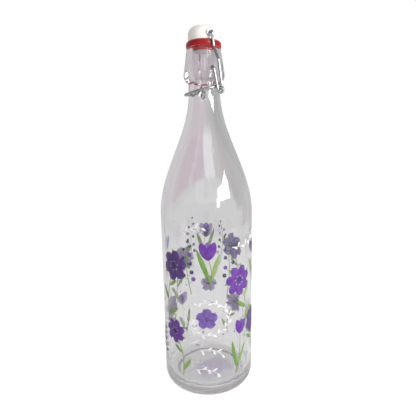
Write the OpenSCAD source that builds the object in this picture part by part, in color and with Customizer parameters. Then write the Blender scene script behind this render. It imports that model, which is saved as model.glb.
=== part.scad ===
// Swing top bottle: a one litre glass bottle closed by a stopper with a rubber gasket,
// which a bail wire holds down and a lever wire pulls tight over centre.
// Millimetres. The base stands on Z = 0 and the bottle's axis is the Z axis.
// The lever turns on the X axis direction, and the lever's bow is at the front, at -Y.

/* [Bottle body] */
// Outer diameter of the straight body
body_d = 85; // [76:0.5:95]
// Height where the shoulder starts
shoulder_z = 163; // [120:1:185]
// Radial size of the round heel
heel_w = 7; // [4:0.5:9]
// Height of the round heel
heel_h = 10; // [6:0.5:14]
// Thickness of the side wall
wall = 2.8; // [2:0.1:4]
// Thickness of the base, from the ceiling of the recess to the inner floor
floor_t = 6; // [4:0.5:9]
// Depth of the recess under the base
recess_h = 2.5; // [1.5:0.1:4]
// Width of the ring that the bottle stands on
rest_ring_w = 5; // [3:0.5:8]

/* [Neck and finish] */
// Outer diameter of the neck at its narrowest
neck_d = 28.2; // [26:0.2:31]
// Distance from the lip down to where the neck becomes narrowest
neck_drop = 37; // [33:0.5:45]
// Upward reach of the shoulder's curve from the body
shoulder_pull = 38; // [25:1:50]
// Downward reach of the shoulder's curve from the neck
neck_pull = 36; // [25:1:50]
// Height of the lip above the base
lip_z = 307; // [285:1:340]
// Outer diameter at the top of the finish
lip_d = 30.2; // [28:0.2:33]
// Largest diameter of the finish
finish_d = 36.4; // [34:0.2:40]
// Distance from the lip down to the largest diameter
finish_drop = 21.5; // [19:0.5:25]
// Distance from the lip down to the lower edge of the finish
finish_h = 28.5; // [26:0.5:32]
// Radius of the rounded lip
lip_round = 1.2; // [0.6:0.1:1.6]
// Diameter of the mouth
mouth_d = 20; // [18:0.2:22]
// Diameter of the bore further down the neck
bore_d = 19; // [16:0.2:21]

/* [Stopper] */
// Diameter of the stopper's head
head_d = 27.2; // [24:0.2:30]
// Height of the stopper's head above the gasket
head_h = 12.5; // [10.5:0.5:16]
// Radius of the rounded top edge
head_round = 6; // [3:0.5:6.5]
// Diameter of the two side bosses
boss_d = 6.8; // [5:0.2:8]
// Distance that each boss stands out from the head
boss_out = 0.8; // [0.4:0.1:1.2]
// Radial clearance of the stem's end flange in the mouth
stem_flange_gap = 1.4; // [1:0.1:2]
// Distance that the end flange stands out from the stem
stem_flange_out = 1.2; // [0.6:0.1:1.8]
// Thickness of the end flange
stem_flange_t = 1.2; // [0.8:0.1:2]

/* [Gasket] */
// Distance that the gasket stands out past the lip
gasket_out = 0.4; // [0:0.1:1.2]
// Thickness of the gasket between lip and stopper
gasket_t = 4.8; // [3:0.1:6]
// Length of the gasket's cone inside the mouth
gasket_cone_h = 3.4; // [2:0.1:4]
// Taper of the cone on the radius
gasket_taper = 0.8; // [0.4:0.1:1]

/* [Wires] */
// Diameter of both wires
wire_d = 2.2; // [1.8:0.1:2.6]
// Inner bend radius of the wires
bend_r = 1; // [0.6:0.1:1.6]
// Distance from the lip down to the lever's pivot
pivot_drop = 18.5; // [16:0.5:20]
// Depth of the lever's ends in the dimples
pivot_depth = 3; // [2:0.1:4]
// Distance from the lever's pivot down to the eyelet
eyelet_drop = 17.5; // [16:0.5:20]
// Distance that the eyelet lies behind the lever's pivot when closed
eyelet_back = 6.7; // [4:0.1:8]
// Inner radius of the eyelet
eyelet_inner_r = 1.8; // [1.5:0.1:2.6]
// Gap between the start and the end of the eyelet's turn
eyelet_gap = 0.4; // [0.3:0.05:0.8]
// Gap between the bow and the neck
bow_gap = 1.8; // [1:0.1:3]
// Angle at which the bow hangs down towards the front
bow_angle = 13.5; // [5:0.5:20]
// Height of the stopper's cross bore above the gasket
cross_bore_h = 5.4; // [4:0.1:7]

/* [Base sticker] */
// Length of the sticker
sticker_l = 34; // [20:1:36]
// Width of the sticker
sticker_w = 24; // [16:1:28]
// Thickness of the sticker
sticker_t = 0.2; // [0.1:0.05:0.3]
// Angle of the sticker about the bottle's axis
sticker_angle = 100; // [0:5:180]
// Offset of the sticker's middle from the axis, along X
sticker_x = 4.5; // [0:0.5:5]
// Offset of the sticker's middle from the axis, along Y
sticker_y = 3; // [0:0.5:4]

/* [Clearances] */
// Radial clearance of a wire end in its hole
pin_gap = 0.1; // [0.05:0.01:0.1]
// Clearance between pieces that pass each other
pass_gap = 0.3; // [0.25:0.05:0.5]
// Radial clearance between the gasket and the stopper's stem
stem_gap = 0.1; // [0.05:0.05:0.2]

/* [Hidden] */

$fn = 96;
curve_steps = 24;
heel_steps = 10;
wire_sides = 12;
eyelet_step = 12;
bow_steps = 24;
bend_steps = 6;
eps = 0.02;

body_r = body_d / 2;
neck_r = neck_d / 2;
neck_z = lip_z - neck_drop;
lip_r = lip_d / 2;
finish_r = finish_d / 2;
mouth_r = mouth_d / 2;
bore_r = bore_d / 2;
wire_r = wire_d / 2;
stem_flange_r = mouth_r - stem_flange_gap;
stem_r = stem_flange_r - stem_flange_out;
gasket_r = lip_r + gasket_out;

rest_r = body_r - heel_w;
recess_r = rest_r - rest_ring_w;
floor_z = recess_h + floor_t;

gasket_z = lip_z;
head_z = gasket_z + gasket_t;
pivot_z = lip_z - pivot_drop;
eyelet_z = pivot_z - eyelet_drop;
eyelet_r = eyelet_inner_r + wire_r;
cross_z = head_z + cross_bore_h;

// The lever's legs run just outside the finish. Each eyelet winds inwards from its leg to the
// bow, which goes round the front of the neck.
leg_x = finish_r + pass_gap + wire_r;
bow_x = leg_x - wire_d - eyelet_gap;
bow_r = neck_r + bow_gap + wire_r;
pin_tip_x = finish_radius(pivot_z) - pivot_depth;
// The bail's legs pass outside the lever's legs, and close to the gasket above them.
bail_x = leg_x + wire_d + pass_gap;
bail_top_x = gasket_r + pass_gap + wire_r;
bail_end_x = bow_x - wire_r - pass_gap;
head_side_x = head_d / 2 + boss_out;
bail_l = norm([eyelet_back, cross_z - eyelet_z]);
bail_lean = atan2(eyelet_back, cross_z - eyelet_z);

// Outer radius of the finish at height z, on its tapered side.
function finish_radius(z) =
    lip_r + (finish_r - lip_r) * (lip_z - lip_round - z) / (finish_drop - lip_round);

// Cubic curve from radius r0 at height z0 to radius r1 at height z1, upright at both ends.
function upright_curve(r0, z0, pull0, r1, z1, pull1, steps) = [
    for (i = [0 : steps])
        let (t = i / steps, a = pow(1 - t, 3), b = 3 * pow(1 - t, 2) * t, c = 3 * (1 - t) * t * t, d = pow(t, 3))
            [(a + b) * r0 + (c + d) * r1, a * z0 + b * (z0 + pull0) + c * (z1 - pull1) + d * z1]
];

// Quarter of an ellipse from angle a0 to a1 about a centre, with half axes rx and rz.
function ellipse_arc(centre, rx, rz, a0, a1, steps) = [
    for (i = [0 : steps])
        let (a = a0 + (a1 - a0) * i / steps)
            [centre[0] + rx * cos(a), centre[1] + rz * sin(a)]
];

function unit(v) = v / norm(v);

// Arc of steps points that rounds the corner p between a and b with radius r.
function corner_arc(a, p, b, r, steps) =
    let (
        u = unit(a - p),
        v = unit(b - p),
        half = acos(u * v) / 2,
        centre = p + unit(u + v) * r / sin(half),
        start = p + u * r / tan(half) - centre,
        end = p + v * r / tan(half) - centre,
        turn = 180 - 2 * half
    )
    [for (i = [0 : steps]) centre + (start * sin(turn * (1 - i / steps)) + end * sin(turn * i / steps)) / sin(turn)];

// Points of a polyline with all its inner corners rounded.
function rounded_path(points, r, steps) = concat(
    [points[0]],
    [for (i = [1 : len(points) - 2]) each corner_arc(points[i - 1], points[i], points[i + 1], r, steps)],
    [points[len(points) - 1]]
);

// Closed tube of radius r along a path, its rings carried along without twist.
module swept_wire(path, r) {
    count = len(path);
    tangents = [for (i = [0 : count - 1]) unit(path[min(i + 1, count - 1)] - path[max(i - 1, 0)])];
    start_normal = unit(cross(tangents[0], [0.2, 0.3, 1]));
    normals = [
        for (i = 0, n = start_normal; i < count; i = i + 1, n = i < count ? unit(n - (n * tangents[i]) * tangents[i]) : n)
            n
    ];
    points = [
        for (i = [0 : count - 1], k = [0 : wire_sides - 1])
            let (a = 360 * k / wire_sides)
                path[i] + r * (normals[i] * cos(a) + cross(tangents[i], normals[i]) * sin(a))
    ];
    sides = [
        for (i = [0 : count - 2], k = [0 : wire_sides - 1])
            let (
                k2 = (k + 1) % wire_sides,
                a = i * wire_sides + k,
                b = i * wire_sides + k2,
                c = (i + 1) * wire_sides + k2,
                d = (i + 1) * wire_sides + k
            )
            each [[a, c, b], [a, d, c]]
    ];
    start_cap = [for (k = [0 : wire_sides - 1]) k];
    end_cap = [for (k = [wire_sides - 1 : -1 : 0]) (count - 1) * wire_sides + k];
    polyhedron(points, concat(sides, [start_cap, end_cap]));
}

// Both halves of a piece that is the same left and right.
module both_sides() {
    children();
    mirror([1, 0, 0])
        children();
}

module rod_x(x0, x1, r) {
    translate([x0, 0, 0])
        rotate([0, 90, 0])
            cylinder(h = x1 - x0, r = r);
}

// Outer outline of the glass, from the resting ring up to the lip.
function glass_outside() = concat(
    [[0, recess_h], [recess_r - recess_h, recess_h]],
    [[recess_r, 0]],
    ellipse_arc([rest_r, heel_h], heel_w, heel_h, -90, 0, heel_steps),
    upright_curve(body_r, shoulder_z, shoulder_pull, neck_r, neck_z, neck_pull, curve_steps),
    [[neck_r, lip_z - finish_h]],
    ellipse_arc(
        [neck_r, lip_z - finish_drop], finish_r - neck_r, finish_h - finish_drop, -60, 0, heel_steps),
    ellipse_arc([lip_r - lip_round, lip_z - lip_round], lip_round, lip_round, 0, 90, heel_steps),
    [[0, lip_z]]
);

// Outline of the hollow, from the inner floor up past the mouth.
function glass_inside() = concat(
    [[0, floor_z]],
    ellipse_arc([rest_r, floor_z + heel_h], heel_w - wall, heel_h, -90, 0, heel_steps),
    upright_curve(body_r - wall, shoulder_z, shoulder_pull, bore_r, neck_z, neck_pull, curve_steps),
    [[bore_r, lip_z - finish_drop], [mouth_r, lip_z - finish_drop / 2]],
    ellipse_arc([mouth_r + lip_round, lip_z - lip_round], lip_round, lip_round, 180, 90, heel_steps),
    [[mouth_r + lip_round, lip_z + 1], [0, lip_z + 1]]
);

module glass_bottle() {
    color([0.85, 0.9, 0.9, 0.4])
        difference() {
            rotate_extrude()
                polygon(glass_outside());
            rotate_extrude()
                polygon(glass_inside());
            both_sides()
                translate([0, 0, pivot_z])
                    dimple();
        }
}

// Hole in the side of the finish for one end of the lever, with a wide countersink.
module dimple() {
    seat_r = wire_r + pin_gap;
    surface_x = finish_radius(pivot_z);
    rod_x(pin_tip_x - pass_gap, finish_r + 1, seat_r);
    translate([surface_x - seat_r, 0, 0])
        rotate([0, 90, 0])
            cylinder(h = 3 * seat_r, r1 = seat_r, r2 = 4 * seat_r);
}

module base_sticker() {
    color("white")
        translate([sticker_x, sticker_y, recess_h - sticker_t])
            rotate([0, 0, sticker_angle])
                translate([-sticker_l / 2, -sticker_w / 2, 0])
                    cube([sticker_l, sticker_w, sticker_t]);
}

// Middle line of the right half of the lever, from the front of the bow to its end at the pivot.
function lever_half() =
    let (
        eyelet_d = norm([eyelet_back, eyelet_drop]),
        leave = 360 - atan2(eyelet_back, eyelet_drop) - acos(eyelet_r / eyelet_d),
        enter = -bow_angle,
        turns = ceil((leave - enter) / eyelet_step),
        touch_y = eyelet_back + eyelet_r * sin(enter),
        touch_z = eyelet_z + eyelet_r * cos(enter),
        bow = [
            for (i = [1 : bow_steps])
                let (a = 90 * i / bow_steps, y = -bow_r * cos(a))
                    [bow_x * sin(a), y, touch_z - (touch_y - y) * tan(bow_angle)]
        ],
        eyelet = [
            for (i = [0 : turns])
                let (t = i / turns, a = enter + (leave - enter) * t)
                    [bow_x + (leg_x - bow_x) * t, eyelet_back + eyelet_r * sin(a), eyelet_z + eyelet_r * cos(a)]
        ],
        leg_end = eyelet[turns],
        hook = corner_arc(leg_end, [leg_x, 0, pivot_z], [pin_tip_x, 0, pivot_z], bend_r + wire_r, bend_steps)
    )
    concat(bow, eyelet, hook);

module lever_wire() {
    half = lever_half();
    front = [0, -bow_r, 2 * half[0][2] - half[1][2]];
    pin_start = half[len(half) - 1][0];
    left = [for (i = [len(half) - 1 : -1 : 0]) [-half[i][0], half[i][1], half[i][2]]];
    color("silver") {
        swept_wire(concat(left, half), wire_r - eps);
        both_sides()
            translate([0, 0, pivot_z])
                rod_x(pin_tip_x, pin_start + 2 * eps, wire_r);
    }
}

// Middle line of the right leg of the bail in its own plane, from the cross bore to the eyelet.
function bail_leg() =
    let (
        taper_start = 2 * bend_r + cross_bore_h + gasket_t,
        taper_end = bail_l - norm([eyelet_back, eyelet_drop]) - 2 * wire_d,
        corners = [
            [head_side_x + pass_gap, 0, 0],
            [head_side_x + pass_gap + bend_r + 2 * wire_r, 0, 0],
            [bail_top_x, 0, -cross_bore_h],
            [bail_top_x, 0, -taper_start],
            [bail_x, 0, -taper_end],
            [bail_x, 0, -bail_l],
            [bow_x + wire_r, 0, -bail_l]
        ]
    )
    rounded_path(corners, bend_r + wire_r, bend_steps);

module bail_wire() {
    color("silver")
        translate([0, 0, cross_z])
            rotate([bail_lean, 0, 0]) {
                both_sides() {
                    swept_wire(bail_leg(), wire_r - eps);
                    translate([0, 0, -bail_l])
                        rod_x(bail_end_x, bow_x + wire_r + 2 * eps, wire_r);
                }
                rod_x(-head_side_x - pass_gap - 2 * eps, head_side_x + pass_gap + 2 * eps, wire_r);
            }
}

module stopper() {
    head_r = head_d / 2;
    stem_end_z = gasket_z - gasket_cone_h - stem_flange_t;
    outline = concat(
        [[0, stem_end_z], [stem_flange_r, stem_end_z]],
        [[stem_flange_r, stem_end_z + stem_flange_t], [stem_r, stem_end_z + stem_flange_t]],
        [[stem_r, head_z], [head_r, head_z]],
        ellipse_arc([head_r - head_round, head_z + head_h - head_round], head_round, head_round, 0, 90, heel_steps),
        [[0, head_z + head_h]]
    );
    color("whitesmoke")
        difference() {
            union() {
                rotate_extrude()
                    polygon(outline);
                translate([0, 0, cross_z])
                    rod_x(-head_side_x, head_side_x, boss_d / 2);
            }
            translate([0, 0, cross_z])
                rod_x(-head_side_x - 1, head_side_x + 1, wire_r + pin_gap);
        }
}

module gasket() {
    hole_r = stem_r + stem_gap;
    cone_r = mouth_r - pass_gap;
    edge = gasket_t / 5;
    outline = [
        [hole_r, gasket_z - gasket_cone_h],
        [cone_r - gasket_taper, gasket_z - gasket_cone_h],
        [cone_r, gasket_z],
        [gasket_r - edge, gasket_z],
        [gasket_r, gasket_z + edge],
        [gasket_r, head_z - edge],
        [gasket_r - edge, head_z],
        [hole_r, head_z]
    ];
    color("firebrick")
        rotate_extrude()
            polygon(outline);
}

glass_bottle();
base_sticker();
lever_wire();
bail_wire();
stopper();
gasket();
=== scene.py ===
import math

import bmesh
import bpy
import numpy as np
from mathutils import Matrix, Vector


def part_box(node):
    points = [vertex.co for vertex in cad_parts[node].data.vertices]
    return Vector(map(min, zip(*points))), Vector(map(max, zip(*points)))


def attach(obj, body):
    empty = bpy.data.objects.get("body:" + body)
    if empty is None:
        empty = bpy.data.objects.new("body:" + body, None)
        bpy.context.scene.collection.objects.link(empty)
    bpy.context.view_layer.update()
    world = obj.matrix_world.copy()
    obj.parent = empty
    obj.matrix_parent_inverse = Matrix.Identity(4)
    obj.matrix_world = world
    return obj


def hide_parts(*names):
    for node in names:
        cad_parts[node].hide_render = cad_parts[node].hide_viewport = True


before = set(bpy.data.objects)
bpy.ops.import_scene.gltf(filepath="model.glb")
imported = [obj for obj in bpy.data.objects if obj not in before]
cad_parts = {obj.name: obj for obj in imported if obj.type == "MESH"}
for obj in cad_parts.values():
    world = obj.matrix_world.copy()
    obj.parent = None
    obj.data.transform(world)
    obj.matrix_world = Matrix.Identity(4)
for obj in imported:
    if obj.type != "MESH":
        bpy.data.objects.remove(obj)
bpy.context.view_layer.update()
scene = bpy.context.scene

# ---------------------------------------------------------------------------
# Camera and room
# A tabletop shot from close by: the lens is level with the shoulder and looks a little down.
# The room is a plain pale floor in soft white light, with windows that the glass can mirror.
# Sizes in this section are in metres.
# ---------------------------------------------------------------------------
VIEW_AZIMUTH = math.radians(66)
VIEW_DISTANCE = 0.3205
VIEW_HEIGHT = 0.2178
VIEW_PITCH = math.radians(9.216)
VIEW_YAW = math.radians(0.292)
VIEW_ROLL = math.radians(-0.893)
FOCAL_PIXELS = 345.2
IMAGE_LONG_SIDE = 417
SENSOR_WIDTH = 36


def linear(code):
    """Linear colour of an sRGB hex code: each channel through the sRGB curve, and alpha 1."""
    srgb = [int(code[i : i + 2], 16) / 255 for i in (1, 3, 5)]
    return [*(c / 12.92 if c <= 0.04045 else ((c + 0.055) / 1.055) ** 2.4 for c in srgb), 1]


def add_node(tree, kind, settings=None, links=None):
    """Adds a node of that kind. Settings go to its properties or to its inputs, and links feed its inputs."""
    node = tree.nodes.new(kind)
    for name, value in (settings or {}).items():
        if isinstance(name, str) and hasattr(node, name):
            setattr(node, name, value)
        else:
            node.inputs[name].default_value = value
    for name, source in (links or {}).items():
        tree.links.new(source, node.inputs[name])
    return node


def new_material(name):
    """An empty node material, and its tree."""
    material = bpy.data.materials.new(name)
    material.use_nodes = True
    material.node_tree.nodes.clear()
    return material, material.node_tree


def aim(azimuth, distance, height, pitch, yaw=0.0, roll=0.0):
    """Placement of a camera or lamp that stands at that azimuth, distance and height and faces the axis,
    turned down by pitch, aside by yaw and about its own line of sight by roll."""
    forward = np.array([math.sin(yaw) * math.cos(pitch), math.cos(yaw) * math.cos(pitch), -math.sin(pitch)])
    level_right = np.array([math.cos(yaw), -math.sin(yaw), 0])
    level_up = np.cross(level_right, forward)
    right = level_right * math.cos(roll) + level_up * math.sin(roll)
    up = level_up * math.cos(roll) - level_right * math.sin(roll)
    place = np.eye(4)
    place[:3] = np.column_stack([right, up, -forward, [0, -distance, height]])
    return Matrix.Rotation(azimuth, 4, "Z") @ Matrix(place.tolist())


camera_data = bpy.data.cameras.new("camera")
camera_data.sensor_width = SENSOR_WIDTH
camera_data.lens = FOCAL_PIXELS / IMAGE_LONG_SIDE * SENSOR_WIDTH
camera_data.clip_start = 0.01
camera = bpy.data.objects.new("camera", camera_data)
camera.matrix_world = aim(VIEW_AZIMUTH, VIEW_DISTANCE, VIEW_HEIGHT, VIEW_PITCH, VIEW_YAW, VIEW_ROLL)
scene.collection.objects.link(camera)
scene.camera = camera
scene.view_settings.view_transform = "Standard"
# Thick glass passes a ray on many times before it leaves, so rays are followed for longer than usual.
scene.cycles.max_bounces = 32
scene.cycles.transmission_bounces = 32
scene.cycles.glossy_bounces = 12


def worked_out(tree, operation, *terms):
    """The result of one step of arithmetic on numbers and sockets."""
    numbers = {i: term for i, term in enumerate(terms) if isinstance(term, (int, float))}
    sockets = {i: term for i, term in enumerate(terms) if i not in numbers}
    return add_node(tree, "ShaderNodeMath", {"operation": operation, **numbers}, sockets).outputs["Value"]


def eased(tree, value, low, high, first=0, last=1, kind="SMOOTHSTEP"):
    """Goes from first to last while the value goes from low to high."""
    ends = {"From Min": low, "From Max": high, "To Min": first, "To Max": last}
    settings = {"interpolation_type": kind, **ends}
    return add_node(tree, "ShaderNodeMapRange", settings, {"Value": value}).outputs["Result"]


def mixed(tree, share, first, second):
    """The two colours, each a hex code, a linear colour or a socket, mixed by that share."""
    pair = {key: linear(c) if isinstance(c, str) else c for key, c in ((6, first), (7, second))}
    fixed = {key: c for key, c in pair.items() if isinstance(c, list)}
    sockets = {key: c for key, c in pair.items() if key not in fixed}
    mix = add_node(tree, "ShaderNodeMix", {"data_type": "RGBA", **fixed}, {"Factor": share, **sockets})
    return mix.outputs[2]


def add_surface(tree, settings, links):
    """Ends the tree with a principled surface of those settings and links."""
    shader = add_node(tree, "ShaderNodeBsdfPrincipled", settings, links)
    add_node(tree, "ShaderNodeOutputMaterial", links={"Surface": shader.outputs["BSDF"]})


# The floor is matte paper on a light table. It glows a little, and more where it is looked at straight than
# in what the glass shows of it, so that the room's white stays white. It lies 0.1 mm under the bottle.
TABLE_HALF = 0.55
TABLE_LEVEL = -0.0001
TABLE_GLOW = 0.47
SEEN_GLOW = 0.42
floor_mesh = bpy.data.meshes.new("floor")
corners = [(x * TABLE_HALF, y * TABLE_HALF, TABLE_LEVEL) for x, y in ((-1, -1), (1, -1), (1, 1), (-1, 1))]
floor_mesh.from_pydata(corners, [], [(0, 1, 2, 3)])
floor_paper, tree = new_material("lit_white_paper")
path = add_node(tree, "ShaderNodeLightPath")
glow = worked_out(tree, "MULTIPLY_ADD", path.outputs["Is Camera Ray"], SEEN_GLOW, TABLE_GLOW)
add_surface(
    tree,
    {
        "Base Color": linear("#A4A5A5"),
        "Roughness": 0.9,
        "Specular IOR Level": 0.1,
        "Emission Color": linear("#FFFFFF"),
    },
    {"Emission Strength": glow},
)
floor_mesh.materials.append(floor_paper)
floor = bpy.data.objects.new("floor", floor_mesh)
scene.collection.objects.link(floor)

# The room behind the bottle: a white sheet lies on the table and hangs up to a slanted edge. Above it stand
# a rose curtain with one pale fold to the left, a pale strip, and a grey cupboard to the right. Each band is
# given by where it ends towards the right, as the sideways part of the direction, and by its colour. The low
# bands pass into the high ones at HIGH_FROM, over a height of BLEND to both sides.
SHEET = "#D6D5D6"
WALL_FRONT = "#95868D"
LOW_BANDS = (
    (-0.3, "#CECCCE"),
    (-0.22, "#CFCBCE"),
    (-0.18, "#D0C1C9"),
    (-0.068, "#CDBEC7"),
    (-0.054, "#DAD1D6"),
    (-0.042, "#CDBDC6"),
    (-0.012, "#CCBBC4"),
    (0.0, "#E8E8EB"),
    (0.05, "#E8E8EB"),
    (0.062, "#C8C5C5"),
    (0.14, "#BEBBBD"),
    (0.4, "#C4C3C5"),
)
HIGH_BANDS = (
    (-0.6, "#CFCCCF"),
    (-0.1, "#D2C8CE"),
    (0.0, "#C6BDC2"),
    (0.1, "#BDBBBA"),
    (0.2, "#B3B4B0"),
    (0.42, "#B4B6B6"),
    (0.6, "#BCBEBF"),
    (0.8, "#A8ACAE"),
)
HIGH_FROM = 0.09
BLEND = 0.03
# The sheet's edge: its height, how much it rises from the back to the front, and how much it slants down to
# the left and to the right, where it does so between the two directions of EDGE_BEND.
EDGE_Z = 0.3585
EDGE_FRONT = 0.41
EDGE_LEFT = 0.45
EDGE_RIGHT = 0.28
EDGE_BEND = (0.08, 0.3)
EDGE_SOFT = 0.012
# The wall behind the camera is darker. It passes into the one behind the bottle between these directions.
FRONT_BLEND = (-0.25, 0.15)
front = np.array([math.sin(VIEW_AZIMUTH), -math.cos(VIEW_AZIMUTH), 0])
right = np.array([math.cos(VIEW_AZIMUTH), math.sin(VIEW_AZIMUTH), 0])
up = np.array([0.0, 0.0, 1.0])
world = bpy.data.worlds.new("studio")
scene.world = world
world.use_nodes = True
tree = world.node_tree
tree.nodes.clear()
path = add_node(tree, "ShaderNodeLightPath")
direction = add_node(tree, "ShaderNodeTexCoord").outputs["Generated"]


def along(tree, direction, axis):
    """The part of the direction that goes along that axis."""
    settings = {"operation": "DOT_PRODUCT", 1: tuple(axis)}
    return add_node(tree, "ShaderNodeVectorMath", settings, {0: direction}).outputs["Value"]


def banded(tree, value, bands):
    """Colour bands along a value between -1 and 1."""
    ramp = add_node(tree, "ShaderNodeValToRGB", links={"Fac": eased(tree, value, -1, 1, kind="LINEAR")})
    stops = ramp.color_ramp.elements
    while len(stops) < len(bands):
        stops.new(0.5)
    for stop, (end, code) in zip(stops, bands):
        stop.position, stop.color = (end + 1) / 2, linear(code)
    return ramp.outputs["Color"]


to_right = along(tree, direction, right)
slant_left = eased(tree, to_right, -1, 0, EDGE_LEFT, 0, "LINEAR")
slant_right = eased(tree, to_right, *EDGE_BEND, 0, EDGE_RIGHT, "LINEAR")
above = worked_out(tree, "ADD", along(tree, direction, up - EDGE_FRONT * front), slant_left)
above = worked_out(tree, "ADD", above, slant_right)
high = eased(tree, along(tree, direction, up), HIGH_FROM - BLEND, HIGH_FROM + BLEND)
back_wall = mixed(tree, high, banded(tree, to_right, LOW_BANDS), banded(tree, to_right, HIGH_BANDS))
wall = mixed(tree, eased(tree, along(tree, direction, front), *FRONT_BLEND), back_wall, WALL_FRONT)
room = mixed(tree, eased(tree, above, EDGE_Z - EDGE_SOFT, EDGE_Z + EDGE_SOFT), SHEET, wall)
seen = mixed(tree, path.outputs["Is Camera Ray"], room, "#FFFFFF")
sky = add_node(tree, "ShaderNodeBackground", links={"Color": seen})
add_node(tree, "ShaderNodeOutputWorld", links={"Surface": sky.outputs["Background"]})


def light_panel(name, azimuth, distance, height, pitch, size, watts, tint="#FFFFFF", roll=0):
    """A rectangular lamp that faces the bottle's axis from that azimuth, turned down by pitch and about its
    own middle by roll. Angles are in degrees, and distance, height and size in metres."""
    data = bpy.data.lights.new(name, "AREA")
    data.shape = "RECTANGLE"
    data.size, data.size_y = size
    data.energy = watts
    data.color = linear(tint)[:3]
    lamp = bpy.data.objects.new(name, data)
    azimuth, pitch, roll = map(math.radians, (azimuth, pitch, roll))
    lamp.matrix_world = aim(azimuth, distance, height, pitch, roll=roll)
    scene.collection.objects.link(lamp)


# A window to the right, as its panes, the slanted part above them and the sill below, and a wide pale door.
light_panel("window", 114, 0.9, 0.479, 17.2, (0.49, 0.22), 5.3)
light_panel("window_top", 121, 0.9, 0.6, 24, (0.3, 0.15), 2.2, roll=25)
light_panel("window_sill", 96, 0.9, 0.326, 8, (0.11, 0.17), 0.5)
light_panel("pale_door", 76, 1.5, 1.3, 35, (2.6, 1.8), 6, "#F4F5FA")

# ---------------------------------------------------------------------------
# Glass bottle
# A blown soda lime bottle: thin walls, a heavy base with a recess that leaves a resting ring, and a
# pressed finish with a dimple on each side for the lever. Its two mould seams are at front and back.
# ---------------------------------------------------------------------------
MM = 0.001
# Sizes are in millimetres. The shoulder is one curve from SHOULDER_Z to NECK_Z, and its two pulls say how far
# it keeps to the upright at each end.
BODY_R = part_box("glass_bottle")[1].x / MM
LIP_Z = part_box("glass_bottle")[1].z / MM
SHOULDER_Z = 163
SHOULDER_PULL = 38
NECK_PULL = 36
NECK_Z = LIP_Z - 37
NECK_R = 14.1
FINISH_R = 18.2
FINISH_DROP = 21.5
FINISH_Z = LIP_Z - FINISH_DROP
FINISH_LOW_Z = LIP_Z - 28.5
LIP_R = 15.1
LIP_ROUND = 1.2
MOUTH_R = 10
MOUTH_LOW_Z = LIP_Z - FINISH_DROP / 2
BORE_R = 9.5
WALL = 2.8
HEEL_W = 7
HEEL_H = 10
REST_RING_W = 5
REST_R = BODY_R - HEEL_W
RECESS_H = 2.5
RECESS_R = REST_R - REST_RING_W
FLOOR_Z = RECESS_H + 6
PIVOT_DROP = 18.5
PIVOT_Z = LIP_Z - PIVOT_DROP
PIN_TIP_X = 14.74
PASS_GAP = 0.3
# The dimple's bore, the flat at its bottom, and how far from its axis the finish is touched.
DIMPLE_R = 1.2
DIMPLE_FLAT = 0.15
DIMPLE_REACH = 4
# The roundings of the recess's edge, of the bore below the mouth, and of the corner between the neck and
# the finish's lower oval. That corner's far leg ends at FILLET_LEG, and the oval begins at OVAL_FROM degrees.
RECESS_ROUND = 3.4
MOUTH_ROUND = 20
FINISH_FILLET = 0.9
FILLET_LEG = (2.05, 0.94)
OVAL_FROM = -56
# The seams' height and width, and the length over which they fade out below the finish.
SEAM_H = 0.05
SEAM_W = 0.8
SEAM_FADE = 5


def oval_arc(centre, half_axes, start, end, steps):
    """Arc of an ellipse: the centre plus the half axes times cosine and sine, angles in degrees."""
    angle = np.radians(np.linspace(start, end, steps + 1))
    return np.array(centre) + np.column_stack([np.cos(angle), np.sin(angle)]) * np.array(half_axes)


def upright_curve(low, low_pull, high, high_pull, steps):
    """Cubic curve from low to high, both (radius, height), whose two handles stand straight up and down."""
    t = np.linspace(0, 1, steps + 1)[:, None]
    first_handle = np.add(low, [0, low_pull])
    last_handle = np.subtract(high, [0, high_pull])
    weights = (1 - t) ** 3, 3 * (1 - t) ** 2 * t, 3 * (1 - t) * t**2, t**3
    return sum(w * np.array(p) for w, p in zip(weights, (low, first_handle, last_handle, high)))


def rounded(points, radius, steps=5):
    """A polyline with each inner corner replaced by a circular arc of that radius. The arc's points are
    its two ends blended by sines, so that they lie on the circle."""
    points = [np.array(p, float) for p in points]
    rows = [points[0][None]]
    for before, corner, after in zip(points, points[1:], points[2:]):
        to_before = (before - corner) / np.linalg.norm(before - corner)
        to_after = (after - corner) / np.linalg.norm(after - corner)
        half = math.acos(np.dot(to_before, to_after)) / 2
        turn = math.pi - 2 * half
        middle = (to_before + to_after) / np.linalg.norm(to_before + to_after)
        centre = corner + middle * radius / math.sin(half)
        start = corner + to_before * radius / math.tan(half) - centre
        end = corner + to_after * radius / math.tan(half) - centre
        t = np.linspace(0, 1, steps + 1)[:, None]
        rows.append(centre + (start * np.sin(turn * (1 - t)) + end * np.sin(turn * t)) / math.sin(turn))
    return np.concatenate([*rows, points[-1][None]])


def between(start, end, steps):
    """Evenly spaced points of a straight run, without its two ends."""
    return np.linspace(start, end, steps + 1)[1:-1]


def revolve(profile, angles):
    """Surface of revolution about Z: each (radius, height) of the profile at each angle, as a grid of points
    with the profile along the first axis."""
    radius, height = profile[:, 0, None], profile[:, 1, None]
    return np.stack([radius * np.cos(angles), radius * np.sin(angles), height + 0 * angles], axis=-1)


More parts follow.
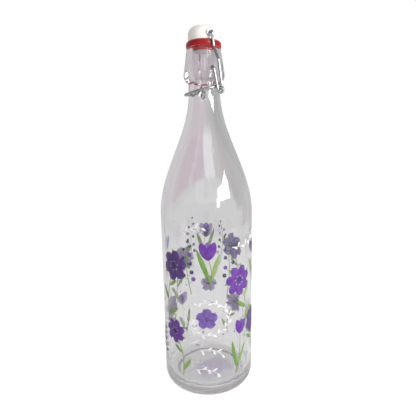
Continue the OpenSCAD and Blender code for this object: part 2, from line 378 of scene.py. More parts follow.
def add_piece(name, grids, material, body):
    """One smooth object from grids of points in millimetres. Neighbours in a grid are joined by four cornered
    faces, its last column meets its first, and points that coincide, as at a pole, are merged."""
    vertices, faces, first = [], [], 0
    for grid in grids:
        rows, columns, _ = grid.shape
        row, column = np.meshgrid(np.arange(rows - 1), np.arange(columns), indexing="ij")
        here = first + row * columns + column
        beside = first + row * columns + (column + 1) % columns
        faces.append(np.stack([here, beside, beside + columns, here + columns], axis=-1).reshape(-1, 4))
        vertices.append(grid.reshape(-1, 3) * MM)
        first += rows * columns
    mesh = bpy.data.meshes.new(name)
    mesh.from_pydata(np.concatenate(vertices), [], np.concatenate(faces))
    merged = bmesh.new()
    merged.from_mesh(mesh)
    bmesh.ops.remove_doubles(merged, verts=merged.verts, dist=1e-7)
    merged.to_mesh(mesh)
    merged.free()
    mesh.shade_smooth()
    mesh.materials.append(material)
    piece = bpy.data.objects.new(name, mesh)
    scene.collection.objects.link(piece)
    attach(piece, body)
    return piece


outside = np.concatenate(
    [
        [[0, RECESS_H]],
        between([0, RECESS_H], [RECESS_R - RECESS_H, RECESS_H], 8),
        rounded(
            [
                [0, RECESS_H],
                [RECESS_R - RECESS_H, RECESS_H],
                [RECESS_R, 0],
                [REST_R, 0],
            ],
            RECESS_ROUND,
            8,
        )[1:-1],
        oval_arc([REST_R, HEEL_H], [HEEL_W, HEEL_H], -90, 0, 24),
        between([BODY_R, HEEL_H], [BODY_R, SHOULDER_Z], 14),
        upright_curve([BODY_R, SHOULDER_Z], SHOULDER_PULL, [NECK_R, NECK_Z], NECK_PULL, 84),
        between([NECK_R, NECK_Z], [NECK_R, FINISH_LOW_Z - 1], 5),
        rounded(
            [[NECK_R, NECK_Z], [NECK_R, FINISH_LOW_Z], np.add([NECK_R, FINISH_LOW_Z], FILLET_LEG)],
            FINISH_FILLET,
        )[1:-1],
        oval_arc([NECK_R, FINISH_Z], [FINISH_R - NECK_R, FINISH_Z - FINISH_LOW_Z], OVAL_FROM, 0, 20),
        between([FINISH_R, FINISH_Z], [LIP_R, LIP_Z - LIP_ROUND], 60),
        oval_arc([LIP_R - LIP_ROUND, LIP_Z - LIP_ROUND], [LIP_ROUND, LIP_ROUND], 0, 90, 10),
    ]
)
inside = np.concatenate(
    [
        oval_arc([MOUTH_R + LIP_ROUND, LIP_Z - LIP_ROUND], [LIP_ROUND, LIP_ROUND], 90, 180, 8),
        between([MOUTH_R, LIP_Z - LIP_ROUND], [MOUTH_R, MOUTH_LOW_Z], 5),
        rounded(
            [[MOUTH_R, LIP_Z], [MOUTH_R, MOUTH_LOW_Z], [BORE_R, FINISH_Z], [BORE_R, NECK_Z]],
            MOUTH_ROUND,
        )[1:-1],
        upright_curve([BODY_R - WALL, SHOULDER_Z], SHOULDER_PULL, [BORE_R, NECK_Z], NECK_PULL, 64)[::-1],
        between([BODY_R - WALL, SHOULDER_Z], [BODY_R - WALL, FLOOR_Z + HEEL_H], 16),
        oval_arc([REST_R, FLOOR_Z + HEEL_H], [HEEL_W - WALL, HEEL_H], 0, -90, 18),
        between([REST_R, FLOOR_Z], [0, FLOOR_Z], 12),
        [[0, FLOOR_Z]],
    ]
)

# The columns of points lie closer together at the dimples and the seams than between them, by the share
# CROWDING.
BOTTLE_TURNS = 232
CROWDING = 0.7
turn = np.linspace(0, 2 * np.pi, BOTTLE_TURNS, endpoint=False)
bottle_angles = turn - CROWDING * np.sin(4 * turn) / 4

outer_wall = revolve(outside, bottle_angles)
radius = np.hypot(outer_wall[..., 0], outer_wall[..., 1])
# Each seam is a low ridge with a bell shaped section, which fades out below the finish.
across_seam = radius * np.cos(bottle_angles)
seam = SEAM_H * np.exp(-((across_seam / SEAM_W) ** 2)) * (outer_wall[..., 2] > HEEL_H)
seam *= np.clip((FINISH_LOW_Z - outer_wall[..., 2]) / SEAM_FADE, 0, 1) * (radius > 0)
# Each dimple is a short blind bore with a cone round it that widens by its own depth.
from_pivot = np.hypot(outer_wall[..., 1], outer_wall[..., 2] - PIVOT_Z)
surface_x = LIP_R + (FINISH_R - LIP_R) * (PIVOT_DROP - LIP_ROUND) / (FINISH_DROP - LIP_ROUND)
cone_x = surface_x - DIMPLE_R + (from_pivot - DIMPLE_R)
dimple_x = np.where(from_pivot < DIMPLE_R + DIMPLE_FLAT, PIN_TIP_X - PASS_GAP, cone_x)
side_x = np.maximum(np.abs(outer_wall[..., 0]), 1e-9)
dimpled = np.where(from_pivot < DIMPLE_REACH, np.minimum(dimple_x / side_x, 1), 1)
outer_wall[..., :2] *= (dimpled * (1 - seam / np.maximum(radius, 1)))[..., None]

# Blown glass has an uneven inner wall, by up to 0.15 mm: a few long waves, each with its number round the
# bottle, its depth, its drift with the height and its start. They fade out towards the mouth and the floor,
# and they are lower where the bottle is narrower than FULL_WAVE_R, down to a share of 0.3.
WAVES = ((3, 0.07, 0.021, 0), (5, 0.04, -0.034, 1.7), (9, 0.03, 0.05, 0.6), (23, 0.01, -0.06, 0))
WAVE_TOP_Z = LIP_Z - 12
TOP_FADE, LOW_FADE = 30, 12
FULL_WAVE_R = 30
inner_wall = revolve(inside, bottle_angles)
z = inner_wall[..., 2]
wave = sum(depth * np.sin(count * bottle_angles + drift * z + at) for count, depth, drift, at in WAVES)
wave *= np.clip((WAVE_TOP_Z - z) / TOP_FADE, 0, 1) * np.clip((z - FLOOR_Z) / LOW_FADE, 0, 1)
inner_radius = np.maximum(np.hypot(inner_wall[..., 0], inner_wall[..., 1]), 1e-9)
inner_wall[..., :2] *= (1 + wave * np.clip(inner_radius / FULL_WAVE_R, 0.3, 1) / inner_radius)[..., None]


def low_dome(wall, reach):
    """A height of 1 on the axis that falls to 0 at reach, as a parabola."""
    return np.clip(1 - (np.hypot(wall[..., 0], wall[..., 1]) / reach) ** 2, 0, 1)


def low_swells(wall):
    """Two crossed sets of long sine waves, between -1.6 and 1.6."""
    x, y = wall[..., 0], wall[..., 1]
    return np.sin(0.31 * x + 0.7) * np.sin(0.27 * y + 0.4) + 0.6 * np.sin(0.19 * x - 0.42 * y)


# The floor rises a little to its middle, and the molten glass left low swells on it and on the recess.
FLOOR_RISE, FLOOR_SWELL, FLOOR_FADE = 0.9, 0.22, 5
RECESS_RISE, RECESS_SWELL = 0.35, 0.1
near_floor = np.clip(1 - np.abs(z - FLOOR_Z) / FLOOR_FADE, 0, 1)
inner_wall[..., 2] += near_floor * (
    FLOOR_RISE * low_dome(inner_wall, REST_R) + FLOOR_SWELL * low_swells(inner_wall)
)
in_recess = (outer_wall[..., 2] >= RECESS_H - 1e-6) * (outer_wall[..., 2] < RECESS_H + 1)
recess_dome = in_recess * low_dome(outer_wall, RECESS_R - RECESS_H)
outer_wall[..., 2] += recess_dome * (RECESS_RISE + RECESS_SWELL * low_swells(outer_wall))


def position(tree):
    """Where a point of the surface is on its object, in metres."""
    return add_node(tree, "ShaderNodeTexCoord").outputs["Object"]


def measured(tree, place, axis):
    """How far along X, Y or Z the place is."""
    return add_node(tree, "ShaderNodeSeparateXYZ", links={"Vector": place}).outputs[axis]


def noise(tree, place, size, detail=2.0, roughness=0.5):
    """A soft random pattern between 0 and 1 whose spots are that many millimetres across."""
    settings = {"Scale": 1 / (size * MM), "Detail": detail, "Roughness": roughness}
    return add_node(tree, "ShaderNodeTexNoise", settings, {"Vector": place}).outputs["Fac"]


def bumped(tree, pattern, strength, depth, below=None):
    """The surface's normal with the pattern as relief, its depth in millimetres, on top of a relief below."""
    links = {"Height": pattern} if below is None else {"Height": pattern, "Normal": below}
    settings = {"Strength": strength, "Distance": depth * MM}
    return add_node(tree, "ShaderNodeBump", settings, links).outputs["Normal"]


# Soda lime glass, fire polished: clear with a faint grey cast, and soft ripples left by the mould. The ring
# that it stands on is stippled with grains of about 0.8 mm, and this frosting fades out over 12 mm.
clear_glass, tree = new_material("soda_lime_glass")
place = position(tree)
relief = bumped(tree, noise(tree, place, 28, 1.0, 0.4), 0.25, 0.4)
# The hot glass also draws out into upright streaks of about 3 mm, twenty times as long as they are wide.
stretch = {"operation": "MULTIPLY", 1: (1, 1, 1 / 20)}
drawn_out = add_node(tree, "ShaderNodeVectorMath", stretch, {0: place}).outputs["Vector"]
relief = bumped(tree, noise(tree, drawn_out, 3, 0.0), 0.5, 0.06, relief)
height = measured(tree, place, "Z")
frosting = eased(tree, height, 0, 12 * MM, 0.32, 0)
stipple = add_node(tree, "ShaderNodeTexVoronoi", {"Scale": 1 / (0.8 * MM)}, {"Vector": place})
stipple_depth = worked_out(tree, "MULTIPLY", stipple.outputs["Distance"], frosting)
relief = bumped(tree, stipple_depth, 0.6, 0.3, relief)
# The pressed finish is two to three times as thick as the blown walls, so the grey cast shows more there,
# and the mould's wall leaves it a little less bright than the fire polished body.
finish = eased(tree, height, (FINISH_LOW_Z - 2) * MM, FINISH_LOW_Z * MM, kind="LINEAR")
cast = mixed(tree, finish, "#FAFAFA", "#F1EEF0")
roughness = worked_out(tree, "MULTIPLY_ADD", finish, 0.1, frosting)
add_surface(
    tree,
    {"IOR": 1.52, "Transmission Weight": 1.0},
    {"Base Color": cast, "Roughness": roughness, "Normal": relief},
)

bottle_grids = [np.concatenate([outer_wall, inner_wall])]
bottle = add_piece("bottle_glass", bottle_grids, clear_glass, "bottle")
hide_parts("glass_bottle")

# ---------------------------------------------------------------------------
# Enamel print
# Screen printed ceramic ink, fired onto the straight body in one thin layer for each colour.
# The design is a ring of blossoms, tulips and berry sprigs, with a white leaf wreath and leaf sprays.
# ---------------------------------------------------------------------------
# Ink thickness, the height of each layer above the last, and where the design's middle lies.
INK_T = 0.05
INK_LIFT = 0.03
PRINT_ANGLE = math.radians(-24)
# Each ink's colour, and the share of the light that it lets through.
INK_COLOURS = {
    "soft_green": ("#BFE08A", 0.65),
    "leaf_green": ("#93C458", 0.5),
    "pale_lilac": ("#DCC6FC", 0.85),
    "lavender": ("#B48CF0", 0.75),
    "mid_violet": ("#7440AC", 0.5),
    "deep_violet": ("#34126E", 0.3),
    "bright_purple": ("#8434C2", 0.45),
    "white": ("#FFFFFF", 0.0),
}
ink = {colour: [] for colour in INK_COLOURS}


def heading(angle):
    """The step of length 1 at that angle."""
    return np.array([math.cos(angle), math.sin(angle)])


def lean_of(start, end):
    """The angle of the straight line from start to end."""
    return math.atan2(end[1] - start[1], end[0] - start[0])


def thin_patch(outline):
    """A filled flat shape of ink, closed: it runs from the middle of its underside out to the rim, up by the
    ink's thickness and back to the middle. Points are (distance round the body, height, lift)."""
    middle = outline.mean(0)
    share = np.array([0, 0.5, 1, 1, 0.67, 0.33, 0])[:, None, None]
    flat = middle + share * (outline - middle)
    lift = np.array([0, 0, 0, INK_T, INK_T, INK_T, INK_T])[:, None, None] + np.zeros((7, len(outline), 1))
    return np.concatenate([flat, lift], axis=-1)


def oval(centre, length, width, angle, point=0.0, steps=18):
    """Outline of a petal or leaf: an ellipse with half sizes length and width, its long axis at that angle,
    narrowed at both ends by the sine to the power point."""
    v = np.linspace(0, 2 * np.pi, steps, endpoint=False)
    axis = heading(angle)
    along_it = length * np.cos(v)
    across_it = width * (np.sin(v) * np.abs(np.sin(v)) ** point)
    return np.array(centre) + np.outer(along_it, axis) + np.outer(across_it, [-axis[1], axis[0]])


def bent_line(start, end, bow, steps=16):
    """A curve from start to end: the straight line, moved sideways by bow times half a sine wave."""
    run = np.subtract(end, start)
    t = np.linspace(0, 1, steps + 1)[:, None]
    side = np.array([-run[1], run[0]]) / np.linalg.norm(run)
    return np.array(start) + run * t + side * bow * np.sin(np.pi * t)


def thin_stroke(line, wide, narrow=None):
    """A ribbon of ink along a line, closed: a flat rectangle's four corners at each point, which shrink to
    one point at both ends. Its width goes from wide to narrow."""
    step = np.gradient(line, axis=0)
    side = np.column_stack([step[:, 1], -step[:, 0]]) / np.linalg.norm(step, axis=1)[:, None]
    half = np.linspace(wide, wide if narrow is None else narrow, len(line))[:, None] / 2
    left, right = line - side * half, line + side * half
    corners = (left, INK_T), (right, INK_T), (right, 0), (left, 0)
    ribbon = np.stack([np.column_stack([edge, 0 * half + lift]) for edge, lift in corners], axis=1)
    ends = [np.repeat(ribbon[i].mean(0)[None, None], 4, axis=1) for i in (0, -1)]
    return np.concatenate([ends[0], ribbon, ends[1]])


def ink_leaf(root, length, angle, colour="leaf_green", width=0.27):
    """A pointed leaf that grows from its root at that angle, with a fine rib in the other green."""
    reach = length / 2 * heading(angle)
    ink[colour].append(thin_patch(oval(np.add(root, reach), length / 2, length * width / 2, angle, 0.45)))
    if colour == "leaf_green":
        rib = bent_line(np.add(root, 0.3 * reach), np.add(root, 1.7 * reach), 0)
        ink["soft_green"].append(thin_stroke(rib, length * 0.045, length * 0.015))


def ink_dot(centre, radius, colour="white"):
    """A round dot."""
    ink[colour].append(thin_patch(oval(centre, radius, radius, 0, steps=12)))


def ink_blossom(centre, radius, petals, petal, tongue, heart, leaf, start=0.3):
    """Round petals in a ring, each with a paler tongue between two dark veins, about a dotted heart, and with
    leaf tips that show between the petals. Every size in it is a share of the blossom's radius."""
    for k in range(petals):
        angle = start + 2 * math.pi * k / petals
        out = heading(angle)
        round_petal = oval(centre + out * radius * 0.58, radius * 0.42, radius * 2.2 / petals, angle)
        ink[petal].append(thin_patch(round_petal))
        narrow_tongue = oval(centre + out * radius * 0.55, radius * 0.27, radius * 0.1, angle, 0.4)
        ink[tongue].append(thin_patch(narrow_tongue))
        for aside in (-0.28, 0.28):
            tip = centre + radius * 0.82 * heading(angle + aside)
            vein = bent_line(centre + out * radius * 0.2, tip, radius * 0.25 * aside, 8)
            ink[heart].append(thin_stroke(vein, radius * 0.05, radius * 0.015))
        ink_leaf(centre + out * radius * 0.5, radius * 0.62, angle + math.pi / petals, leaf, 0.3)
        ink_dot(centre + out * radius * 0.3, radius * 0.035)
    ink_dot(np.array(centre), radius * 0.21, heart)


def ink_plant(foot, top, bow, leaves, blossom_radius, petals, shades):
    """A bent stem with leaves that grow smaller upwards, and a blossom at its top in its four shades: petal,
    tongue, heart and leaf."""
    line = bent_line(foot, top, bow, 24)
    ink["soft_green"].append(thin_stroke(line, 1.2, 0.7))
    lean = lean_of(foot, top)
    for k in range(leaves):
        root = line[3 + k * 18 // leaves]
        length = blossom_radius * (1.2 - 0.5 * k / leaves)
        ink_leaf(root, length, lean + (0.75 if k % 2 else -0.8), shades[3] if k % 3 == 1 else "soft_green")
    ink_blossom(np.array(top), blossom_radius, petals, *shades)


def ink_berries(foot, top, bow, twigs, shades):
    """A fine bent stem with twigs to both sides, each ending in a berry with a white glint. The first shade
    is that of every third berry."""
    line = bent_line(foot, top, bow, 30)
    ink[shades[3]].append(thin_stroke(line, 0.7, 0.35))
    lean = lean_of(foot, top)
    for k in range(twigs):
        root = line[6 + k * 22 // twigs]
        side = 1 if k % 2 else -1
        tip = root + (6.0 - 2.5 * k / twigs) * heading(lean + side * 0.8)
        ink[shades[3]].append(thin_stroke(bent_line(root, tip, 0.4 * side, 6), 0.4))
        berry = 1.9 - 0.6 * k / twigs
        ink_dot(tip, berry, shades[2] if k % 3 else shades[0])
        ink_dot(tip + [-0.4, 0.4], 0.25)
    ink_dot(line[-1], 0.9, shades[2])


def ink_tulip(foot, top, bow, size, shades):
    """A long stem with two blades, and a cup of three pointed petals, the middle one in the second shade."""
    line = bent_line(foot, top, bow, 24)
    ink[shades[3]].append(thin_stroke(line, 0.9, 0.6))
    lean = lean_of(foot, top)
    ink_leaf(line[2], size * 2.0, lean + 0.32, shades[3], 0.14)
    ink_leaf(line[3], size * 1.6, lean - 0.36, "soft_green", 0.16)
    for aside, shade, share in ((0.42, shades[0], 1), (-0.42, shades[0], 1), (0, shades[1], 0.92)):
        axis = heading(lean + aside)
        middle, length, width = line[-1] + axis * size * 0.42, size * 0.52 * share, size * 0.25 * share
        ink[shade].append(thin_patch(oval(middle, length, width, lean + aside, 0.3)))
        vein = bent_line(line[-1] + axis * size * 0.15, line[-1] + axis * size * 0.75 * share, aside, 8)
        ink[shades[2]].append(thin_stroke(vein, size * 0.035, size * 0.012))


def ink_wreath(centre, half_axes, leaves):
    """A white oval line with leaves on both sides of it."""
    v = np.linspace(0, 2 * np.pi, 73)
    ring = np.array(centre) + np.column_stack([np.cos(v), np.sin(v)]) * half_axes
    ink["white"].append(thin_stroke(ring, 0.6))
    for k in range(leaves):
        angle = 2 * math.pi * (k + 0.5) / leaves
        root = np.array(centre) + heading(angle) * half_axes
        ink_leaf(root, 4.6, angle + math.pi / 2 + (0.7 if k % 2 else -0.7), "white", 0.34)


def ink_spray(start, end, bow, leaves):
    """A white bent line with leaves to both sides and a dot beyond each."""
    line = bent_line(start, end, bow, 5 * leaves)
    ink["white"].append(thin_stroke(line, 0.6, 0.4))
    lean = lean_of(start, end)
    for k in range(leaves):
        root, side = line[2 + 5 * k], 1 if k % 2 else -1
        ink_leaf(root, 4.8, lean + 0.75 * side, "white", 0.34)
        ink_dot(root + [0.8, 3.4 * side], 0.45)


# The design fills half the way round and then comes again in paler shades: petal, tongue, heart and leaf.
# Places are (distance round the body, height) in millimetres. Bows and sizes are in millimetres too.
HALF_ROUND = math.pi * BODY_R
STRONG = ("mid_violet", "lavender", "deep_violet", "leaf_green")
VIVID = ("bright_purple", "lavender", "deep_violet", "leaf_green")
PALE = ("lavender", "pale_lilac", "mid_violet", "soft_green")
FAINT = ("pale_lilac", "lavender", "mid_violet", "soft_green")
for start, first, second, third in ((0, STRONG, VIVID, PALE), (HALF_ROUND, PALE, FAINT, FAINT)):
    ink_plant([start - 42, 66], [start - 32, 121], 4, 3, 14, 6, first)
    ink_plant([start + 39, 62], [start + 30, 107], -4, 3, 14, 7, second)
    ink_plant([start - 24, 20], [start - 33, 60], -4, 2, 11.5, 7, second)
    ink_plant([start + 60, 26], [start + 53, 62], 4, 2, 13, 6, first)
    ink_tulip([start + 26, 22], [start + 31, 58], -2, 14, second)
    ink_tulip([start + 2, 106], [start + 1, 130], -2, 16, second)
    ink_tulip([start + 64, 94], [start + 60, 126], 2, 14, first)
    ink_berries([start - 52, 22], [start - 50, 60], 4, 9, first)
    ink_berries([start + 17, 96], [start + 16, 150], -3, 10, first)
    ink_berries([start - 14, 98], [start - 16, 146], 3, 9, second)
    ink_blossom(np.array([start - 1.0, 76.0]), 9.5, 5, *third)
ink_wreath([-1, 76], [20, 15], 26)
ink_spray([-24, 150], [-2, 156], 3, 5)
ink_spray([22, 138], [60, 150], -5, 9)
ink_spray([-8, 46], [14, 40], 4, 5)
ink_spray([-12, 28], [10, 23], 3, 5)
# Small dots are scattered over the whole round.
DOTS = 60
scatter = np.random.default_rng(11)
dots_round = scatter.uniform(-HALF_ROUND, HALF_ROUND, DOTS)
for spot in zip(dots_round, scatter.uniform(20, 150, DOTS)):
    ink_dot(spot, 0.8, scatter.choice(["lavender", "pale_lilac"]))


def enamel(name, code, clear):
    """Fired ceramic ink: glossy, with a cloudy coverage about 4 mm across, which goes from 0.65 of its colour
    to 0.14 of the way to white, and a fine screen grain. The share clear of the light passes through it."""
    material, tree = new_material(name)
    place = position(tree)
    dark, pale = linear(code), linear(code)
    dark[:3] = [c * 0.65 for c in dark[:3]]
    pale[:3] = [c + (1 - c) * 0.14 for c in pale[:3]]
    tone = mixed(tree, noise(tree, place, 4, 3.0), dark, pale)
    add_surface(
        tree,
        {"Roughness": 0.4, "IOR": 1.2, "Transmission Weight": clear},
        {"Base Color": tone, "Normal": bumped(tree, noise(tree, place, 0.5), 0.2, 0.02)},
    )
    return material


for layer, (colour, shapes) in enumerate(ink.items()):
    print_r = BODY_R + INK_LIFT * (1 + layer)
    wrapped = []
    for shape in shapes:
        angle, r = PRINT_ANGLE + shape[..., 0] / BODY_R, print_r + shape[..., 2]
        wrapped.append(np.stack([r * np.cos(angle), r * np.sin(angle), shape[..., 1]], axis=-1))
    material = enamel("enamel_ink_" + colour, *INK_COLOURS[colour])
    add_piece("enamel_" + colour, wrapped, material, "bottle")

# ---------------------------------------------------------------------------
# Base sticker
# A small blank paper label with rounded corners, stuck in the recess under the base.
# It shows through the thick glass of the floor.
# ---------------------------------------------------------------------------
STICKER_L = 34
STICKER_W = 24
STICKER_T = 0.12
STICKER_TOP = RECESS_H - 0.04
STICKER_ANGLE = math.radians(100)
STICKER_PLACE = (4.5, 3)
CORNER_POWER = 0.22

# The outline is a superellipse: the cosine and sine to CORNER_POWER, so nearly a rectangle. The sheet's
# rings of points go out along its underside and come back over its top.
v = np.linspace(0, 2 * np.pi, 96, endpoint=False)
round_xy = np.column_stack([np.cos(v), np.sin(v)])
edge = np.sign(round_xy) * np.abs(round_xy) ** CORNER_POWER * [STICKER_L / 2, STICKER_W / 2]
long_way = heading(STICKER_ANGLE)
turned = edge @ np.array([long_way, [-long_way[1], long_way[0]]])
share = np.array([0, 0.35, 0.7, 1, 1, 0.7, 0.35, 0])[:, None, None]
level = np.array([0, 0, 0, 0, 1, 1, 1, 1])[:, None] * STICKER_T + STICKER_TOP - STICKER_T
level = np.repeat(level[:, :, None], len(v), axis=1)
sheet = np.concatenate([share * turned + STICKER_PLACE, level], axis=-1)

label_paper, tree = new_material("uncoated_label_paper")
# Wood pulp paper: matte white, with fibres of about 1 mm that make it faintly mottled.
place = position(tree)
fibre = noise(tree, place, 1.0, 4.0)
add_surface(
    tree,
    {"Roughness": 0.85, "IOR": 1.1, "Transmission Weight": 0.85},
    {"Base Color": mixed(tree, fibre, "#F0E6FF", "#FBF6FF"), "Normal": bumped(tree, fibre, 0.3, 0.03)},
)
sticker = add_piece("base_label", [sheet], label_paper, "bottle")
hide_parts("base_sticker")

# ---------------------------------------------------------------------------
# Gasket
# A moulded red rubber ring: a flat flange between the lip and the stopper, and a short cone that
# centres it in the mouth. The two halves of its mould leave a fine flash line round the rim.
# ---------------------------------------------------------------------------
GASKET_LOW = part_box("gasket")[0].z / MM
HEAD_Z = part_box("gasket")[1].z / MM
GASKET_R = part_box("gasket")[1].x / MM
GASKET_HOLE_R = 7.5
CONE_R = MOUTH_R - PASS_GAP
CONE_TAPER = 0.8
CONE_TOP_Z = LIP_Z - LIP_ROUND - 0.4
EDGE_CUT = 0.9
EDGE_ROUND = 0.12
FLASH = 0.08
FLASH_HALF = 0.15
# The rubber gives where the lip presses into it, so the two surfaces touch without any air between them.
SEATED = 0.06
ROUND_TURNS = 128

round_angles = np.linspace(0, 2 * np.pi, ROUND_TURNS, endpoint=False)
# The ring's outline starts and ends on a straight run, 2 mm down the hole, so that each corner is rounded.
middle_z = (LIP_Z + HEAD_Z) / 2
seat_r = LIP_ROUND - SEATED
lip_seat = oval_arc([MOUTH_R + LIP_ROUND, LIP_Z - LIP_ROUND], [seat_r, seat_r], 180, 90, 6)
ring = rounded(
    [
        [GASKET_HOLE_R, HEAD_Z - 2],
        [GASKET_HOLE_R, GASKET_LOW],
        [CONE_R - CONE_TAPER, GASKET_LOW],
        [CONE_R, CONE_TOP_Z],
        *lip_seat,
        [GASKET_R - EDGE_CUT, LIP_Z - SEATED],
        [GASKET_R - FLASH, LIP_Z + EDGE_CUT],
        [GASKET_R - FLASH, middle_z - FLASH_HALF],
        [GASKET_R, middle_z],
        [GASKET_R - FLASH, middle_z + FLASH_HALF],
        [GASKET_R - FLASH, HEAD_Z - EDGE_CUT],
        [GASKET_R - EDGE_CUT, HEAD_Z],
        [GASKET_HOLE_R, HEAD_Z],
        [GASKET_HOLE_R, HEAD_Z - 2],
    ],
    EDGE_ROUND,
)
red_rubber, tree = new_material("moulded_red_rubber")
# Soft filled rubber: deep red with a satin skin that takes the fine grain of its mould, about 0.4 mm.
place = position(tree)
flange_tone = mixed(tree, noise(tree, place, 5, 3.0), "#820910", "#A21218")
# The cone below the lip is painted a brighter red than the flange: painted light, since the glass mouth
# around it leaves it in shade.
height = measured(tree, place, "Z")
painted_light_on_cone = eased(tree, height, (LIP_Z + 0.4) * MM, (LIP_Z + 0.1) * MM, kind="LINEAR")
add_surface(
    tree,
    {"Roughness": 0.36, "Specular IOR Level": 0.35},
    {
        "Base Color": mixed(tree, painted_light_on_cone, flange_tone, "#E2333A"),
        "Normal": bumped(tree, noise(tree, place, 0.4), 0.25, 0.03),
    },
)
gasket = add_piece("rubber_gasket", [revolve(ring, round_angles)], red_rubber, "closure")
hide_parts("gasket")

# ---------------------------------------------------------------------------
# Stopper
# A moulded white plastic head with a round boss on each side for the bail, and a stem with a flange at its
# end that holds the gasket.
# ---------------------------------------------------------------------------
HEAD_R = 13.6
HEAD_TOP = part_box("stopper")[1].z / MM
HEAD_ROUND = 6
HEAD_EDGE = 0.35
STEM_R = 7.4
STEM_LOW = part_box("stopper")[0].z / MM
STEM_FLANGE_R = 8.6
STEM_FLANGE_T = 1.2
BOSS_R = 3.4
BOSS_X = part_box("stopper")[1].x / MM
BOSS_DEPTH = 4
BOSS_EDGE = 0.3
CROSS_Z = HEAD_Z + 5.4
CROSS_BORE_R = 1.2

head = np.concatenate(
    [
        [[0, STEM_LOW]],
        rounded(
            [
                [STEM_FLANGE_R / 2, STEM_LOW],
                [STEM_FLANGE_R, STEM_LOW],
                [STEM_FLANGE_R, STEM_LOW + STEM_FLANGE_T],
                [STEM_R, STEM_LOW + STEM_FLANGE_T],
                [STEM_R, HEAD_Z],
                [HEAD_R, HEAD_Z],
                [HEAD_R, HEAD_Z + 3],
            ],
            HEAD_EDGE,
        ),
        between([HEAD_R, HEAD_Z + 3], [HEAD_R, HEAD_TOP - HEAD_ROUND], 6),
        oval_arc([HEAD_R - HEAD_ROUND, HEAD_TOP - HEAD_ROUND], [HEAD_ROUND, HEAD_ROUND], 0, 90, 24),
        between([HEAD_R - HEAD_ROUND, HEAD_TOP], [0, HEAD_TOP], 8),
        [[0, HEAD_TOP]],
    ]
)
boss_outline = rounded(
    [
        [CROSS_BORE_R, BOSS_X - 2.5],
        [CROSS_BORE_R, BOSS_X - BOSS_DEPTH],
        [BOSS_R, BOSS_X - BOSS_DEPTH],
        [BOSS_R, BOSS_X],
        [CROSS_BORE_R, BOSS_X],
        [CROSS_BORE_R, BOSS_X - 2.5],
    ],
    BOSS_EDGE,
)


def mirrored(grid):
    """The same grid on the other side of the middle, its columns reversed so that it still faces outwards."""
    return (grid * [-1, 1, 1])[:, ::-1]


# The boss is turned from the upright axis onto X.
boss = revolve(boss_outline, round_angles)
boss = np.stack([boss[..., 2], boss[..., 0], boss[..., 1] + CROSS_Z], axis=-1)

white_plastic, tree = new_material("moulded_white_plastic")
# Glossy moulded polypropylene: warm white, with flow clouds of about 8 mm and a slight orange peel.
place = position(tree)
tone = mixed(tree, noise(tree, place, 8), "#E6E5DA", "#F4F3EC")
# The bosses' outer faces are painted a little greyer than the dome: painted shade, as they face away from the
# light.
from_middle = worked_out(tree, "ABSOLUTE", measured(tree, place, "X"))
painted_shade_on_bosses = eased(tree, from_middle, (HEAD_R - 0.6) * MM, (HEAD_R + 0.4) * MM, kind="LINEAR")
add_surface(
    tree,
    {"Roughness": 0.28},
    {
        "Base Color": mixed(tree, painted_shade_on_bosses, tone, "#B4B7B8"),
        "Normal": bumped(tree, noise(tree, place, 1.2), 0.15, 0.04),
    },
)
stopper_grids = [revolve(head, round_angles), boss, mirrored(boss)]
stopper = add_piece("stopper_head", stopper_grids, white_plastic, "closure")
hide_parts("stopper")

# ---------------------------------------------------------------------------
# Bail wire
# One plated steel wire, cold bent: it runs through the stopper's cross bore, comes down on both sides
# close to the gasket, spreads past the lever's legs and hooks inwards through the eyelets.
# ---------------------------------------------------------------------------
WIRE_R = 1.1
BEND_R = 1 + WIRE_R
EYELET_Y = 6.7
EYELET_Z = PIVOT_Z - 17.5
EYELET_R = 1.8 + WIRE_R
EYELET_GAP = 0.4
LEG_X = FINISH_R + PASS_GAP + WIRE_R
BOW_X = LEG_X - 2 * WIRE_R - EYELET_GAP
BAIL_X = LEG_X + 2 * WIRE_R + PASS_GAP
BAIL_TOP_X = GASKET_R + PASS_GAP + WIRE_R
BAIL_END_X = BOW_X - WIRE_R - PASS_GAP
BAIL_L = math.hypot(EYELET_Y, CROSS_Z - EYELET_Z)
BAIL_LEAN = math.atan2(EYELET_Y, CROSS_Z - EYELET_Z)
WIRE_SIDES = 28
DOME_STEPS = 6


def wire_half(middle_line):
    """Half of a round wire that is the same left and right, from its middle out to a rounded end. Each ring
    lies square to the line: one of its axes is X crossed with the line's direction, or where the line runs
    along X the one between its neighbours', and the other is square to both."""
    out = np.gradient(middle_line, axis=0)
    out /= np.linalg.norm(out, axis=1)[:, None]
    side = np.cross([1, 0, 0], out)
    length = np.linalg.norm(side, axis=1)
    sound = length > 0.02
    side /= np.maximum(length, 1e-9)[:, None]
    index = np.arange(len(side))
    side = np.column_stack([np.interp(index, index[sound], side[sound, k]) for k in range(3)])
    side /= np.linalg.norm(side, axis=1)[:, None]
    # The end is a low dome: rings that step out by a sine while they shrink by a cosine.
    dome_h = 0.35 * WIRE_R
    dome = np.radians(np.linspace(15, 90, DOME_STEPS))[:, None]
    centre = np.concatenate([middle_line, middle_line[-1] + out[-1] * dome_h * (np.sin(dome) - 1)])
    ring_r = np.concatenate([np.full(len(middle_line), WIRE_R), WIRE_R * np.cos(dome[:, 0])])[:, None, None]
    centre[len(middle_line) - 1] -= out[-1] * dome_h
    side = np.concatenate([side, np.repeat(side[-1:], DOME_STEPS, axis=0)])[:, None]
    out = np.concatenate([out, np.repeat(out[-1:], DOME_STEPS, axis=0)])[:, None]
    around = np.linspace(0, 2 * np.pi, WIRE_SIDES, endpoint=False)[None, :, None]
    return centre[:, None] + ring_r * (side * np.cos(around) + np.cross(out, side) * np.sin(around))


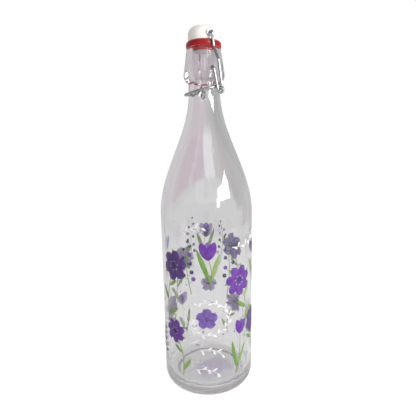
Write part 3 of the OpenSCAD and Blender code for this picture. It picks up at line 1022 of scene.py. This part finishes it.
def finer(line, spacing=0.5):
    """The same line with points about that far apart, by linear steps along its length."""
    run = np.concatenate([[0], np.cumsum(np.linalg.norm(np.diff(line, axis=0), axis=1))])
    at = np.union1d(np.linspace(0, run[-1], int(run[-1] / spacing) + 1), run)
    return np.column_stack([np.interp(at, run, line[:, k]) for k in range(3)])


taper_start = 2 * (BEND_R - WIRE_R) + CROSS_Z - LIP_Z
taper_end = BAIL_L - math.hypot(EYELET_Y, PIVOT_Z - EYELET_Z) - 4 * WIRE_R
bail_line = rounded(
    [
        [0, 0, 0],
        [BOSS_X + PASS_GAP + BEND_R + WIRE_R, 0, 0],
        [BAIL_TOP_X, 0, -(CROSS_Z - HEAD_Z)],
        [BAIL_TOP_X, 0, -taper_start],
        [BAIL_X, 0, -taper_end],
        [BAIL_X, 0, -BAIL_L],
        [BAIL_END_X, 0, -BAIL_L],
    ],
    BEND_R,
    10,
)
# The wire's plane leans back about the cross bore by the bail's angle.
cosine, sine = math.cos(BAIL_LEAN), math.sin(BAIL_LEAN)
bail_line = bail_line @ np.array([[1, 0, 0], [0, cosine, sine], [0, -sine, cosine]]) + [0, 0, CROSS_Z]
bail_half = wire_half(finer(bail_line))

plated_steel, tree = new_material("nickel_plated_wire")
# Drawn steel wire, bright nickel plated: a cool grey mirror, dulled in patches of about 3 mm by handling,
# with scratches of about 0.3 mm.
place = position(tree)
patches = noise(tree, place, 3, 4.0)
add_surface(
    tree,
    {"Metallic": 1.0},
    {
        "Base Color": mixed(tree, patches, "#7F8384", "#C2C4C3"),
        "Roughness": eased(tree, patches, 0, 1, 0.14, 0.36, "LINEAR"),
        "Normal": bumped(tree, noise(tree, place, 0.3), 0.2, 0.02),
    },
)
bail = add_piece("bail_wire_bent", [bail_half, mirrored(bail_half)], plated_steel, "bail")
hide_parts("bail_wire")

# ---------------------------------------------------------------------------
# Lever wire
# The same wire, bent into the lever: its ends turn in the dimples, each leg winds once round to make
# the eyelet that holds the bail, and the bow goes round the front of the neck.
# ---------------------------------------------------------------------------
BOW_GAP = 1.8
BOW_R = NECK_R + BOW_GAP + WIRE_R
BOW_ANGLE = math.radians(13.5)

eyelet_far = math.hypot(EYELET_Y, PIVOT_Z - EYELET_Z)
eyelet_leave = 2 * math.pi - math.atan2(EYELET_Y, PIVOT_Z - EYELET_Z) - math.acos(EYELET_R / eyelet_far)
touch_y = EYELET_Y - EYELET_R * math.sin(BOW_ANGLE)
touch_z = EYELET_Z + EYELET_R * math.cos(BOW_ANGLE)
# The bow is half an oval in a plane that drops towards the front.
bow_turn = np.linspace(0, math.pi / 2, 49)
bow_y = -BOW_R * np.cos(bow_turn)
bow = np.column_stack([BOW_X * np.sin(bow_turn), bow_y, touch_z - (touch_y - bow_y) * math.tan(BOW_ANGLE)])
# The eyelet is one turn of a screw line about X, from the bow's plane out to the leg's.
t = np.linspace(0, 1, 61)
screw = -BOW_ANGLE + (eyelet_leave + BOW_ANGLE) * t
eyelet_x = BOW_X + (LEG_X - BOW_X) * t
eyelet = np.column_stack([eyelet_x, EYELET_Y + EYELET_R * np.sin(screw), EYELET_Z + EYELET_R * np.cos(screw)])
leg = rounded([eyelet[-1], [LEG_X, 0, PIVOT_Z], [PIN_TIP_X, 0, PIVOT_Z]], BEND_R, 10)
lever_half = wire_half(finer(np.concatenate([bow, eyelet, leg[1:]])))
lever = add_piece("lever_wire_bent", [lever_half, mirrored(lever_half)], plated_steel, "lever")
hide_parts("lever_wire")
